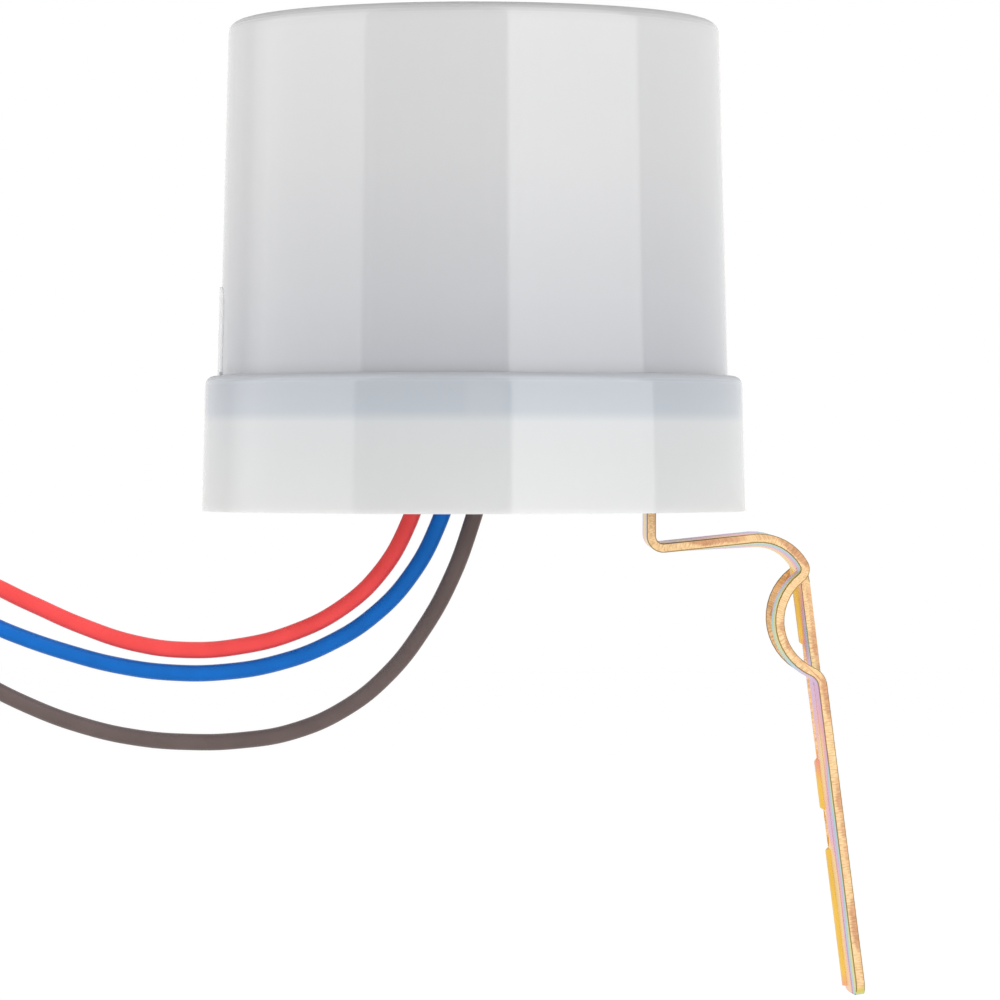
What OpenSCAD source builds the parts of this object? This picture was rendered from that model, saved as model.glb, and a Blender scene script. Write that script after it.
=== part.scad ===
// Photocell switch on a pole bracket: a milky stepped cover over a clip-in base, a relay
// board inside, three flying leads, and one bent steel strip with a lanced strap bridge.
// Everything is laid out about the cover's axis, with height 0 at the skirt's rim, and then
// moved so that the origin is the centre of the bracket's wall screw hole.

/* [Cover] */
// Diameter of the skirt at its rim
skirt_d = 72; // [70:0.5:78]
// Height of the skirt, rim to step
skirt_h = 17.8; // [16.5:0.1:20]
// Width of the step between the skirt and the cap
step_w = 2.35; // [2:0.05:3]
// Height of the whole cover
cover_h = 64.5; // [58:0.5:75]
// Wall of the cover
cover_wall = 1.8; // [1.4:0.1:2.2]
// Thickness of the cover's top
cover_top = 2; // [1.4:0.1:3]
// Mould draft of the walls, in degrees
draft = 1.5; // [0.5:0.1:2]
// Rounding of the cap's top edge
cap_round = 1.6; // [0.8:0.1:2.4]
// Rounding of the skirt's top edge
skirt_round = 1.3; // [0.6:0.1:1.6]
// Width of the raised pad on the cap
pad_w = 12; // [8:0.5:16]
// Height of the pad above the step
pad_h = 11.7; // [8:0.1:16]
// How far the pad stands proud
pad_proud = 0.32; // [0.2:0.02:0.6]
// Width of a snap lug
lug_w = 3; // [2:0.5:6]
// Height of a snap lug
lug_h = 2.3; // [1.5:0.1:3]
// How far a lug reaches under the base
lug_bite = 0.6; // [0.4:0.1:1]
// Turn of the four snap lugs about the axis, in degrees
lug_turn = 2.4; // [0:0.1:10]

/* [Base] */
// Thickness of the base plate
base_t = 2.4; // [1.8:0.1:3]
// Thickness of the seal ring
seal_t = 0.6; // [0.4:0.1:1]
// Height of the locating ring
ring_h = 6.6; // [4:0.1:8]
// Wall of the locating ring
ring_t = 1.6; // [1.2:0.1:2]
// Diameter of a board post
post_d = 6; // [5:0.5:7]
// Height of a board post
post_h = 8.6; // [8:0.1:11]
// Height of the ribs beside the bracket tab
rib_h = 1.7; // [1:0.1:2.5]
// Thickness of those ribs
rib_t = 1.5; // [1:0.1:2]

/* [Board] */
// Thickness of the circuit board
board_t = 1.6; // [1:0.1:2]
// Diameter of a board screw
board_screw_d = 2.2; // [2:0.1:2.5]
// Length of a board screw below its head
board_screw_l = 6; // [5:0.5:7]
// Relay length, width and height
relay_size = [19, 15.5, 15.5];
// Dropper capacitor length, width and height
dropper_size = [18, 8.5, 15];
// Diameter of the smoothing capacitor
smoothing_d = 8; // [6.3:0.1:10]
// Height of the smoothing capacitor
smoothing_h = 12; // [8:0.5:16]
// Diameter of the photoresistor disc
photo_d = 7.5; // [5:0.5:10]
// Height of the photoresistor's centre above the board
photo_h = 18; // [10:0.5:24]

/* [Leads] */
// Diameter of a lead
lead_d = 2.2; // [1.8:0.1:2.4]
// Diameter of a bare lead end
core_d = 1.2; // [0.8:0.1:1.5]
// Length of a stripped tip
tip_l = 6; // [4:0.5:8]
// Distance between the leads in the grommet
lead_pitch = 4; // [3.6:0.1:4.4]
// Place of the grommet from the cover's axis
grommet_x = -2; // [-4:0.5:-1]
// Rubber around a lead in the grommet
grommet_wall = 1.3; // [1:0.1:1.6]
// Thickness of a grommet flange
grommet_flange = 1.2; // [0.8:0.1:1.6]

/* [Bracket] */
// Width of the strip
strip_w = 18.5; // [14:0.5:22]
// Thickness of the strip
strip_t = 1.2; // [1:0.1:1.5]
// Inside radius of the two tight bends
bend_r = 1; // [0.6:0.1:2]
// Distance of the upright stub from the cover's axis
stub_x = 23.25; // [21:0.25:25]
// Length of the tab under the base
tab_l = 13.4; // [12:0.1:14]
// Place of the tab's screw hole from the tab's free end
tab_hole_at = 6; // [5:0.1:7]
// Straight length of the stub
stub_l = 14; // [10:0.5:20]
// Straight length of the arm
arm_l = 12.2; // [8:0.1:20]
// Rise of the arm, in degrees
arm_rise = 2.6; // [0:0.1:8]
// Inside radius of the shoulder bend
shoulder_r = 5.3; // [4:0.1:8]
// Outward lean of the long leg, in degrees
lean = 7.2; // [0:0.1:12]
// Length of the long leg
leg_l = 54.5; // [50:0.5:70]
// Hollow of the leg across its width
bow = 0.77; // [0.4:0.01:1.2]
// Rounding of the leg's corners
corner_r = 2; // [1:0.5:4]
// Width of a strap bridge band
band_w = 2.7; // [2:0.1:3.2]
// Gap sheared between a band and the middle of the leg
band_gap = 0.3; // [0.2:0.05:0.5]
// Rise of a band off the leg
bridge_rise = 4.6; // [3:0.05:6]
// Radius of a band's arch
bridge_r = 8; // [6.5:0.1:10]
// How far before the end of the shoulder bend the bands leave it, in degrees
bridge_lead = 22; // [10:1:30]
// Radius at the upper foot of a band
bridge_foot_r = 0.6; // [0.4:0.1:1.5]
// Radius at the lower foot of a band
bridge_toe_r = 1.5; // [0.8:0.1:2.5]
// Width of the slot
slot_w = 4.8; // [4.5:0.1:5.5]
// Length of the slot, end to end
slot_l = 16; // [10:0.5:18]
// Start of the slot from the top of the leg
slot_at = 8; // [6:0.5:12]
// Diameter of the wall screw hole
hole_d = 4.8; // [4:0.1:5.5]
// Distance of that hole from the leg's lower end
hole_up = 21.5; // [16:0.5:24]
// Radius of the pressed bead
bead_r = 2; // [1.6:0.1:2.6]
// How far the bead stands proud
bead_rise = 0.5; // [0.3:0.05:0.7]

/* [Bracket fixing] */
// Diameter of the bracket screw
screw_d = 4; // [3:0.5:5]
// Length of the bracket screw below its head
screw_l = 9; // [8:0.5:10]
// Diameter of the screw head
head_d = 8; // [7:0.5:9]
// Height of the screw head
head_h = 2.6; // [2:0.1:3]
// Thickness of the flat washer
washer_t = 0.8; // [0.5:0.1:1]
// Diameter of the flat washer
washer_d = 9; // [8:0.5:10]
// Thickness of the spring washer
spring_t = 1; // [0.8:0.1:1.2]
// Length of the threaded insert
insert_l = 5.8; // [5:0.1:6.5]
// Wall of the threaded insert
insert_wall = 1; // [0.8:0.1:1.4]
// Plastic around the threaded insert
boss_wall = 1.6; // [1.2:0.1:2]

/* [Hidden] */
$fn = 64;

// Clearances: parts that slide together, parts pressed in, and overlap for clean cuts
fit_gap = 0.25;
seat_gap = 0.05;
cut = 1;

// Heights of the stack under the cover's shoulder
shoulder_z = skirt_h - cover_wall;
base_top = shoulder_z - seal_t;
base_bottom = base_top - base_t;
ring_top = base_top + ring_h;
board_bottom = base_top + post_h;
board_top = board_bottom + board_t;

// Radii that fit into the drafted cover
cap_d = skirt_d - 2 * step_w;
function skirt_r(z) = skirt_d / 2 - z * tan(draft);
function cap_r(z) = cap_d / 2 - (z - skirt_h) * tan(draft);
base_r = skirt_r(shoulder_z) - cover_wall - fit_gap;
ring_r = cap_r(ring_top) - cover_wall - fit_gap;
board_r = ring_r - ring_t - 1.9;
post_ring_r = board_r - post_d / 2 - 1;
lug_angles = [for (i = [0:3]) lug_turn + 90 * i];
post_angles = [0, 120, 240];

// Board screw
board_head_d = 2 * board_screw_d;
board_head_h = 1.6;

// Grommet: a row of three bores in an oblong block, with a flange each side of the base
lead_x = [for (i = [-1:1]) grommet_x + i * lead_pitch];
grommet_r = lead_d / 2 + grommet_wall;
grommet_flange_r = grommet_r + 1;

// Centre lines of the board's components, from the cover's axis
relay_at = [10, 11.2];
dropper_at = [9, -9.5];
smoothing_at = [-5, 13.5];
varistor_at = [-15.5, 6];
power_resistor_at = [7, -19];
transistor_at = [-3, 6.5];
zener_at = [-3.5, -16];
photo_at = [-19.5, 0];
diode_rows = [-4, -7, -10, -13];
diode_x = -5.5;
resistor_rows = [-5, -8, -11];
resistor_x = -16;

// Small components: body length, body diameter and distance between the legs
diode_size = [5.2, 2.6, 8.5];
zener_size = [4, 2, 7.5];
resistor_size = [6, 2.3, 8.5];
power_resistor_size = [12, 4.5, 16];
leg_d = 0.6;
leg_stand = 2;
transistor_d = 4.6;
transistor_h = 4.6;
transistor_flat = 1.2;
varistor_d = 9;
varistor_t = 3.6;

// Directions and places along the bracket's centre line, which lies in the XZ plane
function heading(a) = [cos(a), 0, sin(a)];
function normal(a) = [-sin(a), 0, cos(a)];
function after_bend(p, a, turn, r) = p + sign(turn) * r * (normal(a) - normal(a + turn));
tight_r = bend_r + strip_t / 2;
round_r = shoulder_r + strip_t / 2;
arm_turn = 90 + arm_rise;
leg_turn = -(90 - lean + arm_rise);
leg_angle = lean - 90;
tab_start = [stub_x - tight_r - tab_l, 0, base_bottom - strip_t / 2];
stub_start = after_bend(tab_start + tab_l * heading(0), 0, -90, tight_r);
arm_start = after_bend(stub_start + stub_l * heading(-90), -90, arm_turn, tight_r);
leg_start = after_bend(arm_start + arm_l * heading(arm_rise), arm_rise, leg_turn, round_r);
hole_at = leg_l - hole_up;
wall_hole = leg_start + hole_at * heading(leg_angle);
tab_hole_x = tab_start.x + tab_hole_at;
tab_hole_d = screw_d + 0.4;

// Strap bridge: the bands leave the shoulder by a tight foot, arch over the middle of the leg
// and come back to it by a rounder foot. The turns follow from the rise and the radii.
foot_drop = round_r - (round_r - bridge_foot_r) * cos(bridge_lead);
upper_turn = acos((bridge_r - bridge_rise + foot_drop) / (bridge_r + bridge_foot_r));
lower_turn = acos(1 - bridge_rise / (bridge_r + bridge_toe_r));
bridge_end = (bridge_r + bridge_foot_r) * sin(upper_turn)
    + (bridge_r + bridge_toe_r) * sin(lower_turn)
    - (round_r - bridge_foot_r) * sin(bridge_lead);
mid_half = strip_w / 2 - band_w - band_gap;

// Stations along the strip: [place, heading, hollow]. The sheet is one run down to the split,
// then a middle run and two band runs, and one run again from where the bands come back.
facet_turn = 8;
function bent(p, a, turn, r, depth = 0) =
    let (steps = ceil(abs(turn) / facet_turn))
        [for (i = [1:steps]) [after_bend(p, a, turn * i / steps, r), a + turn * i / steps, depth]];
function bent_on(run, turn, r) =
    let (e = run[len(run) - 1]) concat(run, bent(e[0], e[1], turn, r, e[2]));
tab_end = tab_start + tab_l * heading(0);
stub_end = stub_start + stub_l * heading(-90);
arm_end = arm_start + arm_l * heading(arm_rise);
split_turn = leg_turn + bridge_lead;
upper_run = concat(
    [[tab_start, 0, 0], [tab_end, 0, 0]], bent(tab_end, 0, -90, tight_r),
    [[stub_end, -90, 0]], bent(stub_end, -90, arm_turn, tight_r),
    [[arm_end, arm_rise, bow]], bent(arm_end, arm_rise, split_turn, round_r, bow)
);
split = upper_run[len(upper_run) - 1];
mid_run = bent(split[0], split[1], -bridge_lead, round_r, bow);
band_run = bent_on(
    bent_on(
        bent(split[0], split[1], -bridge_lead - upper_turn, bridge_foot_r, bow),
        upper_turn + lower_turn, bridge_r
    ),
    -lower_turn, bridge_toe_r
);
lower_run = [for (x = [bridge_end, leg_l]) [leg_start + x * heading(leg_angle), leg_angle, bow]];

// Lines across the strip: three over each band and six over the middle
band_ys = [strip_w / 2 - band_w, (strip_w - band_w) / 2, strip_w / 2];
mid_ys = [for (i = [-5:2:5]) mid_half * i / 5];
strip_ys = concat(-[band_ys[2], band_ys[1], band_ys[0]], mid_ys, band_ys);

// Bead: it runs out in the shoulder's bend, stops clear of the screw hole and ends near the leg's end
bead_start = -1.02 * sqrt(2 * (round_r + strip_t / 2) * min(bead_rise, 0.45 * strip_t));
bead_end = leg_l - 0.6;
bead_land = 0.5;
bead_axis = bead_r - bead_rise - strip_t / 2;

// Bracket fixing, seen from below: screw head, spring washer, flat washer, tab, insert
tab_bottom = base_bottom - strip_t;
washer_bottom = tab_bottom - washer_t;
spring_bottom = washer_bottom - spring_t;
insert_r = screw_d / 2 + seat_gap + insert_wall;
boss_r = insert_r + seat_gap + boss_wall;
boss_roof = 1.4;
screw_room = 0.5;
screw_bore_h = spring_bottom + screw_l + screw_room - base_bottom;
boss_h = max(screw_bore_h, insert_l + seat_gap) + boss_roof;

// Routes of the leads, from the board down through the grommet and out to the left. The
// spare length is folded into a teardrop loop past a tie, each lead at its own height.
red_route = [
    [-6, 0, 22], [-6, 0, 10], [-6.8, 0, 4.5], [-8.8, 0, -2], [-12.5, 0, -8.3], [-17.5, 0, -12.9],
    [-24, 0, -16.2], [-31, 0, -18], [-38, 0, -18.5], [-45, 0, -17.6], [-52, 0, -15.3],
    [-59, 0, -12.2], [-66, 0, -9.1], [-75, 0, -7.6]
];
blue_route = [
    [-2, 0, 22], [-2, 0, 10], [-2.8, 0, 4.5], [-4.8, 0, -2], [-8.3, 0, -8.5], [-13.2, 0, -13.8],
    [-19.3, 0, -17.7], [-26, 0, -20.2], [-33, 0, -21.4], [-40, 0, -21.5], [-47, 0, -20.6],
    [-54, 0, -18.8], [-61, 0, -16.4], [-68, 0, -13.4], [-76, 0, -11.1]
];
black_route = [
    [2, 0, 22], [2, 0, 10], [1.4, 0, 4.5], [-0.3, 0, -1.7], [-3, 0, -9], [-6.7, 0, -15.7],
    [-11.4, 0, -21.7], [-17, 0, -26.2], [-24, 0, -29.3], [-31, 0, -30.5], [-38, 0, -30.7],
    [-45, 0, -30.1], [-52, 0, -28.5], [-59, 0, -25.9], [-66, 0, -22.3], [-72.5, 0, -17.9],
    [-79, 0, -14.2]
];
loop_route = [
    [-84, 0], [-88, 0], [-93.5, -1.8], [-99, -4.7], [-104.5, -5.7], [-109.5, -3], [-111, 1.3],
    [-109.5, 5.5], [-104.5, 8.2], [-99, 7.2], [-93.5, 4.3], [-88, 2.5], [-76, 2.5]
];
loop_z = [-8, -10.5, -13];
tie_x = -86;
tie_w = 3;
tie_t = 0.8;
tie_gap = 0.15;

// Sheet and rod helpers

// A rectangle with rounded corners, centred
module rounded_rect(size, r) {
    square([size.x - 2 * r, size.y], center = true);
    square([size.x, size.y - 2 * r], center = true);
    for (x = [-1, 1], y = [-1, 1])
        translate([x * (size.x / 2 - r), y * (size.y / 2 - r)])
            circle(r);
}

// A slot outline between two points on the X axis
module oblong(x0, x1, r) {
    translate([x0, -r]) square([x1 - x0, 2 * r]);
    for (x = [x0, x1]) translate([x, 0]) circle(r);
}

// Points of an arc about a centre
function arc(c, r, from, to, steps = 8) =
    [for (i = [0:steps]) let (a = from + (to - from) * i / steps) c + r * [cos(a), sin(a)]];

// A ring between two heights
module ring(outer_r, inner_r, z0, z1) {
    translate([0, 0, z0])
        difference() {
            cylinder(r = outer_r, h = z1 - z0);
            translate([0, 0, -cut]) cylinder(r = inner_r, h = z1 - z0 + 2 * cut);
        }
}

// An axial component that lies on the board along X, with its two legs bent down
module axial(size) {
    body_d = size[1];
    pitch = size[2];
    translate([0, 0, board_top + body_d / 2]) {
        rotate([0, 90, 0]) cylinder(d = body_d, h = size[0], center = true);
        rotate([0, 90, 0]) cylinder(d = leg_d, h = pitch, center = true);
        for (x = [-1, 1])
            translate([x * pitch / 2, 0, -body_d / 2]) {
                cylinder(d = leg_d, h = body_d / 2);
                translate([0, 0, body_d / 2]) sphere(d = leg_d);
            }
    }
}

// A tube swept along a route, with one ring of points at each of its points
function unit(v) = v / norm(v);
function last(list) = len(list) - 1;
function along(path, i) = unit(path[min(i + 1, last(path))] - path[max(i - 1, 0)]);
function carried(side, way) = unit(side - way * (side * way));
function sides_of(path) = [
    for (i = 0, side = carried([0, 1, 0], along(path, 0)); i < len(path);
         i = i + 1, side = carried(side, along(path, min(i, last(path))))) side
];
module tube(path, d, corners = 8) {
    side = sides_of(path);
    points = [
        for (i = [0:last(path)], k = [0:corners - 1])
            let (a = 360 * k / corners)
                path[i] + d / 2 * (cos(a) * side[i] + sin(a) * cross(along(path, i), side[i]))
    ];
    walls = [
        for (i = [0:last(path) - 1], k = [0:corners - 1])
            let (k2 = (k + 1) % corners, p = i * corners, q = p + corners)
                each [[p + k, q + k, p + k2], [p + k2, q + k, q + k2]]
    ];
    start = [for (k = [0:corners - 1]) k];
    end = [for (k = [corners - 1:-1:0]) last(path) * corners + k];
    polyhedron(points, concat([start], walls, [end]));
}

// Sheet metal helpers

// Points of the strip at one station, the under side first. It is hollow towards +normal.
function hollow(y, depth) = depth * pow(2 * y / strip_w, 2);
function across(station, ys) = [
    for (face = [-1, 1], y = ys)
        station[0] + [0, y, 0] + (hollow(y, station[2]) + face * strip_t / 2) * normal(station[1])
];
function points_of(run, ys) = [for (station = run) each across(station, ys)];

// Rows of point numbers, one [under, upper] pair a station
function rows_of(first, count, n) = [
    for (i = [0:count - 1])
        [for (face = [0, 1]) [for (j = [0:n - 1]) first + (2 * i + face) * n + j]]
];
function part_of(row, from, to) = [for (line = row) [for (j = [from:to]) line[j]]];
function quad(a, b, c, d) = [[a, b, c], [a, c, d]];

// Skin between rows: under side, upper side and the two edges
function skin(rows) = [
    for (i = [0:len(rows) - 2])
        let (u = rows[i][0], v = rows[i][1], u2 = rows[i + 1][0], v2 = rows[i + 1][1], e = len(u) - 1)
            each concat(
                [for (j = [0:e - 1]) each quad(v[j], v[j + 1], v2[j + 1], v2[j])],
                [for (j = [0:e - 1]) each quad(u[j], u2[j], u2[j + 1], u[j + 1])],
                quad(u[e], u2[e], v2[e], v[e]),
                quad(u[0], v[0], v2[0], u2[0])
            )
];
function front_cap(row, from, to) = [
    for (j = [from:to - 1])
        each quad(row[0][j], row[0][j + 1], row[1][j + 1], row[1][j])
];
function back_cap(row, from, to) = [for (f = front_cap(row, from, to)) [f[2], f[1], f[0]]];

// The whole bent sheet, with its bands lanced and bowed
module sheet() {
    nb = len(band_ys);
    nm = len(mid_ys);
    n = len(strip_ys);
    upper = rows_of(0, len(upper_run), n);
    mid_first = 2 * n * len(upper_run);
    mid = rows_of(mid_first, len(mid_run), nm);
    band_count = len(band_run) - 1;
    left_first = mid_first + 2 * nm * len(mid_run);
    left = rows_of(left_first, band_count, nb);
    right_first = left_first + 2 * nb * band_count;
    right = rows_of(right_first, band_count, nb);
    lower = rows_of(right_first + 2 * nb * band_count, len(lower_run), n);
    band_stations = [for (i = [0:band_count - 1]) band_run[i]];
    fork = upper[len(upper) - 1];
    joint = lower[0];
    points = concat(
        points_of(upper_run, strip_ys), points_of(mid_run, mid_ys),
        points_of(band_stations, [for (i = [0:nb - 1]) strip_ys[i]]),
        points_of(band_stations, band_ys), points_of(lower_run, strip_ys)
    );
    faces = concat(
        front_cap(upper[0], 0, n - 1), skin(upper),
        back_cap(fork, nb - 1, nb), back_cap(fork, n - nb - 1, n - nb),
        skin(concat([part_of(fork, nb, n - nb - 1)], mid, [part_of(joint, nb, n - nb - 1)])),
        skin(concat([part_of(fork, 0, nb - 1)], left, [part_of(joint, 0, nb - 1)])),
        skin(concat([part_of(fork, n - nb, n - 1)], right, [part_of(joint, n - nb, n - 1)])),
        front_cap(joint, nb - 1, nb), front_cap(joint, n - nb - 1, n - nb),
        skin(lower), back_cap(lower[len(lower) - 1], 0, n - 1)
    );
    polyhedron(points, faces);
}

// X along the leg from its top, Z through the strip's thickness
module on_leg() {
    translate(leg_start) rotate([0, -leg_angle, 0]) children();
}

// What rounds the two corners of an end at a given length
module corner_cut(x) {
    for (y = [-1, 1])
        translate([x - corner_r, y * (strip_w / 2 - corner_r)])
            difference() {
                translate([0, y > 0 ? 0 : -corner_r - cut]) square(corner_r + cut);
                circle(corner_r);
            }
}

// A rod along the bead, kept off the land around the screw hole
module bead_rod(r, from, to) {
    difference() {
        translate([from, 0, bead_axis]) rotate([0, 90, 0]) cylinder(r = r, h = to - from);
        translate([hole_at, 0, -strip_w / 2])
            cylinder(r = hole_d / 2 + bead_land, h = strip_w);
    }
}

// The raised side of the bead, rooted at the strip's mid-plane
module bead() {
    difference() {
        bead_rod(bead_r, bead_start, bead_end);
        translate([bead_start - cut, -bead_r, 0])
            cube([bead_end - bead_start + 2 * cut, 2 * bead_r, 2 * bead_r]);
    }
}

// Nodes, in the frame of the cover's axis

module cover() {
    z1 = skirt_h - skirt_round;
    z2 = cover_h - cap_round;
    corner = [cos(draft), sin(draft)];
    skirt_c = [skirt_r(z1 + skirt_round * corner.y) - skirt_round * corner.x, z1];
    cap_c = [cap_r(z2 + cap_round * corner.y) - cap_round * corner.x, z2];
    ceiling = cover_h - cover_top;
    outside = concat(
        [[0, 0], [skirt_r(0), 0]],
        arc(skirt_c, skirt_round, draft, 90),
        [[cap_r(skirt_h), skirt_h]],
        arc(cap_c, cap_round, draft, 90),
        [[0, cover_h]]
    );
    inside = [
        [0, -cut], [skirt_r(-cut) - cover_wall, -cut],
        [skirt_r(shoulder_z) - cover_wall, shoulder_z],
        [cap_r(shoulder_z) - cover_wall, shoulder_z],
        [cap_r(ceiling) - cover_wall, ceiling], [0, ceiling]
    ];
    color([0.85, 0.86, 0.88]) {
        rotate_extrude($fn = 128)
            difference() {
                polygon(outside);
                polygon(inside);
            }
        cover_pad();
        for (a = lug_angles) rotate(a) snap_lug();
    }
}

// Raised pad on the cap, on the side away from the bracket
module cover_pad() {
    top_z = skirt_h + pad_h;
    root = cover_wall / 2;
    intersection() {
        rotate_extrude($fn = 128)
            polygon([
                [cap_r(skirt_h) - root, skirt_h - root], [cap_r(skirt_h) + pad_proud, skirt_h - root],
                [cap_r(top_z) + pad_proud, top_z], [cap_r(top_z) - root, top_z]
            ]);
        translate([-cap_d / 2, 0, skirt_h])
            rotate([90, 0, 90])
                linear_extrude(cap_d, center = true)
                    intersection() {
                        rounded_rect([pad_w, 2 * pad_h], 2.5);
                        translate([-pad_w / 2, -root]) square([pad_w, pad_h + root]);
                    }
        translate([-cap_d, -cap_d / 2, 0]) cube([cap_d, cap_d, cover_h]);
    }
}

// Lug inside the skirt that holds the base up against the seal
module snap_lug() {
    lug_z = base_bottom - seat_gap;
    wall_r = skirt_r(lug_z) - cover_wall;
    tip_r = base_r - lug_bite;
    rotate([90, 0, 0])
        linear_extrude(lug_w, center = true)
            polygon([
                [wall_r + cover_wall / 2, lug_z], [tip_r, lug_z], [tip_r, lug_z - lug_h / 3],
                [wall_r, lug_z - lug_h], [wall_r + cover_wall / 2, lug_z - lug_h]
            ]);
}

module base() {
    color([0.82, 0.83, 0.84])
        difference() {
            union() {
                translate([0, 0, base_bottom]) cylinder(r = base_r, h = base_t, $fn = 128);
                ring(ring_r, ring_r - ring_t, base_top - base_t / 2, ring_top);
                for (a = post_angles)
                    rotate(a)
                        translate([post_ring_r, 0, base_top - base_t / 2])
                            cylinder(d = post_d, h = post_h + base_t / 2);
                translate([tab_hole_x, 0, base_bottom])
                    cylinder(r = boss_r, h = boss_h);
                tab_ribs();
            }
            for (a = post_angles)
                rotate(a)
                    translate([post_ring_r, 0, board_bottom - board_screw_l])
                        cylinder(r = board_screw_d / 2 + seat_gap, h = board_screw_l + cut);
            translate([tab_hole_x, 0, base_bottom - cut])
                cylinder(r = insert_r + seat_gap, h = insert_l + seat_gap + cut);
            translate([tab_hole_x, 0, base_bottom])
                cylinder(r = screw_d / 2 + fit_gap, h = screw_bore_h);
            translate([0, 0, base_bottom - cut])
                linear_extrude(base_t + 2 * cut)
                    oblong(lead_x[0], lead_x[2], grommet_r + seat_gap);
        }
}

// Ribs on the underside that keep the bracket tab from turning
module tab_ribs() {
    rib_l = tab_l - 3;
    for (y = [-1, 1])
        translate([
            tab_start.x + 1, y * (strip_w / 2 + fit_gap + rib_t / 2) - rib_t / 2, base_bottom - rib_h
        ])
            cube([rib_l, rib_t, rib_h + base_t / 2]);
}

module seal_ring() {
    color([0.25, 0.25, 0.26]) ring(base_r - 0.1, ring_r + 0.1, base_top, shoulder_z);
}

module circuit_board() {
    color([0.62, 0.44, 0.22])
        translate([0, 0, board_bottom])
            difference() {
                cylinder(r = board_r, h = board_t);
                for (a = post_angles)
                    rotate(a)
                        translate([post_ring_r, 0, -cut])
                            cylinder(r = board_screw_d / 2 + fit_gap, h = board_t + 2 * cut);
                for (x = lead_x)
                    translate([x, 0, -cut])
                        cylinder(r = core_d / 2 + seat_gap, h = board_t + 2 * cut);
            }
}

module board_screws() {
    color([0.75, 0.75, 0.76])
        for (a = post_angles)
            rotate(a)
                translate([post_ring_r, 0, board_top]) {
                    difference() {
                        cylinder(d = board_head_d, h = board_head_h);
                        for (turn = [0, 90])
                            rotate(turn)
                                translate([-board_screw_d / 2, -0.3, board_head_h / 2])
                                    cube([board_screw_d, 0.6, board_head_h]);
                    }
                    translate([0, 0, -board_screw_l]) cylinder(d = board_screw_d, h = board_screw_l);
                }
}

module relay() {
    edge = 0.6;
    color([0.12, 0.2, 0.45])
        translate([relay_at.x, relay_at.y, board_top]) {
            linear_extrude(relay_size.z - edge) rounded_rect([relay_size.x, relay_size.y], edge);
            linear_extrude(relay_size.z)
                rounded_rect([relay_size.x - 2 * edge, relay_size.y - 2 * edge], edge);
        }
}

module dropper_capacitor() {
    color([0.75, 0.18, 0.1])
        translate([dropper_at.x, dropper_at.y, board_top])
            linear_extrude(dropper_size.z) rounded_rect([dropper_size.x, dropper_size.y], 1);
}

module smoothing_capacitor() {
    r = smoothing_d / 2;
    groove_z = 1.6;
    groove = 0.35;
    color([0.1, 0.1, 0.14])
        translate([smoothing_at.x, smoothing_at.y, board_top])
            rotate_extrude()
                polygon(concat(
                    [[0, 0], [r, 0], [r, groove_z - groove], [r - groove, groove_z], [r, groove_z + groove]],
                    arc([r - 0.6, smoothing_h - 0.6], 0.6, 0, 90, 4),
                    [[r - 1, smoothing_h - 0.3], [0, smoothing_h - 0.3]]
                ));
}

module rectifier_diodes() {
    color([0.13, 0.13, 0.13])
        for (y = diode_rows) translate([diode_x, y, 0]) axial(diode_size);
}

module zener_diode() {
    color([0.75, 0.35, 0.15]) translate([zener_at.x, zener_at.y, 0]) axial(zener_size);
}

module small_resistors() {
    color([0.82, 0.7, 0.5])
        for (y = resistor_rows) translate([resistor_x, y, 0]) axial(resistor_size);
}

module power_resistor() {
    color([0.6, 0.62, 0.6])
        translate([power_resistor_at.x, power_resistor_at.y, 0]) axial(power_resistor_size);
}

module transistor() {
    color([0.1, 0.1, 0.1])
        translate([transistor_at.x, transistor_at.y, board_top]) {
            translate([0, 0, leg_stand])
                intersection() {
                    cylinder(d = transistor_d, h = transistor_h);
                    translate([-transistor_d / 2, -transistor_flat, 0])
                        cube([transistor_d, transistor_d, transistor_h]);
                }
            for (i = [-1:1])
                translate([i * transistor_d / 3.6, 0, 0])
                    cylinder(d = leg_d, h = leg_stand + transistor_h / 9);
        }
}

module varistor() {
    color([0.1, 0.3, 0.6])
        translate([varistor_at.x, varistor_at.y, board_top]) {
            translate([0, 0, leg_stand + varistor_d / 2])
                rotate([90, 0, 0]) cylinder(d = varistor_d, h = varistor_t, center = true);
            for (x = [-1, 1])
                translate([x * varistor_d / 3.6, 0, 0])
                    cylinder(d = leg_d, h = leg_stand + varistor_d / 4);
        }
}

// The light sensor stands on its legs and faces the pad
module photoresistor() {
    disc_t = 2.2;
    color([0.8, 0.55, 0.35])
        translate([photo_at.x, photo_at.y, board_top + photo_h])
            rotate([0, -90, 0]) {
                cylinder(d = photo_d, h = disc_t);
                translate([0, 0, disc_t]) cylinder(d = photo_d - 1.2, h = 0.3);
            }
}

module photoresistor_legs() {
    reach = 1.5;
    color([0.8, 0.8, 0.82])
        for (y = [-1, 1])
            translate([photo_at.x, photo_at.y + y * photo_d / 4, board_top]) {
                translate([reach, 0, 0]) cylinder(d = leg_d, h = photo_h);
                translate([reach, 0, photo_h]) sphere(d = leg_d);
                translate([0, 0, photo_h]) rotate([0, 90, 0]) cylinder(d = leg_d, h = reach);
            }
}

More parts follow.
